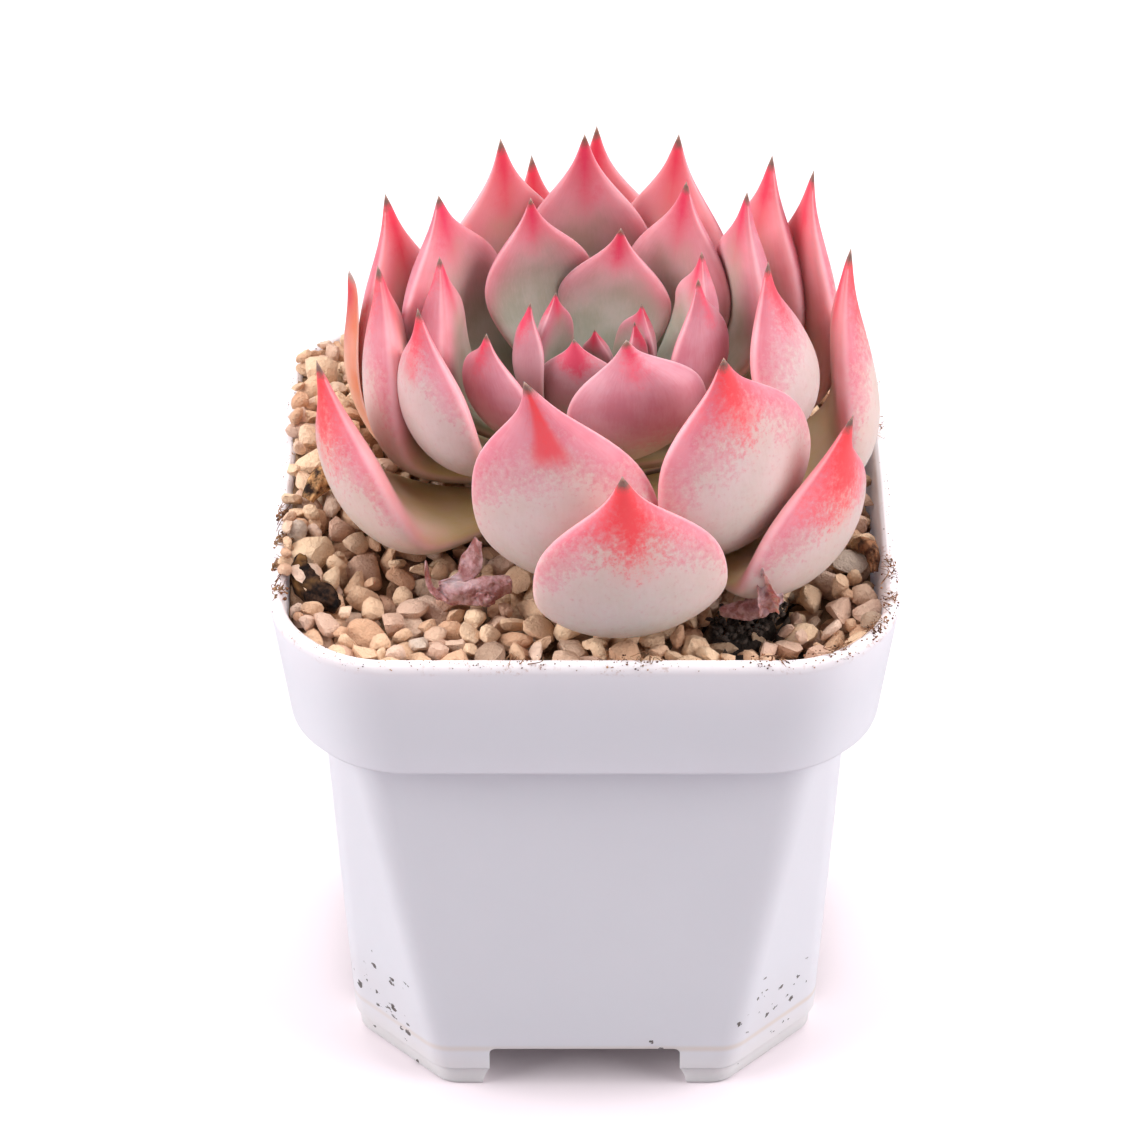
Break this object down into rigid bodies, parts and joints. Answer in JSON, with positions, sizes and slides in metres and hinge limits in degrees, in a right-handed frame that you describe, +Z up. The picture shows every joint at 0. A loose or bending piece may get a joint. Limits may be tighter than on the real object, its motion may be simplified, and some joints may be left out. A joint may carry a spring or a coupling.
{
  "type": "potted succulent",
  "caption": "Rosette succulent with thick, pointed leaves in a square white plastic pot, growing through gravel over potting soil; the pot stands on its corner feet.",
  "frame": {"origin": "on the surface the pot stands on, under the centre of the pot", "axes": "+Z up, -Y towards the front, +X to the right seen from the front"},
  "size_m": [0.0698, 0.0698, 0.1017],
  "materials": {
    "pot_plastic": "satin white, a little translucent at the lip",
    "soil": "dark, damp peat",
    "gravel": "dry, porous tan clay grains",
    "stem": "matt green-brown",
    "leaf": "matt bloom, cream below and coral red at the tip and margins",
    "heart_leaf": "matt bloom, grey green with red tips",
    "old_leaf": "orange, thin and fading",
    "dry_leaf": "mauve brown, papery",
    "bark": "rough, dark"
  },
  "bodies": {
    "root": {"pot": "pot_plastic", "potting_soil": "soil", "gravel": "gravel", "stem": "stem", "old_leaf_1": "old_leaf", "lowest_leaf_1": "leaf", "lowest_leaf_2": "leaf", "lowest_leaf_3": "leaf", "lowest_leaf_4": "leaf", "lowest_leaf_5": "leaf", "lowest_leaf_6": "leaf", "lowest_leaf_7": "leaf", "lowest_leaf_8": "leaf", "lowest_leaf_9": "leaf", "outer_leaf_1": "leaf", "outer_leaf_2": "leaf", "outer_leaf_3": "leaf", "outer_leaf_4": "leaf", "outer_leaf_5": "leaf", "outer_leaf_6": "leaf", "outer_leaf_7": "leaf", "middle_leaf_1": "leaf", "middle_leaf_2": "leaf", "middle_leaf_3": "leaf", "middle_leaf_4": "leaf", "middle_leaf_5": "leaf", "middle_leaf_6": "leaf", "middle_leaf_7": "leaf", "inner_leaf_1": "leaf", "inner_leaf_2": "leaf", "inner_leaf_3": "leaf", "inner_leaf_4": "leaf", "inner_leaf_5": "leaf", "inner_leaf_6": "leaf", "heart_leaf_1": "heart_leaf", "heart_leaf_2": "heart_leaf", "heart_leaf_3": "heart_leaf", "heart_leaf_4": "heart_leaf", "heart_leaf_5": "heart_leaf", "heart_leaf_6": "heart_leaf", "heart_leaf_7": "heart_leaf", "dry_leaf_left": "dry_leaf", "dry_leaf_right": "dry_leaf", "bark_flake": "bark"}
  },
  "joints": []
}
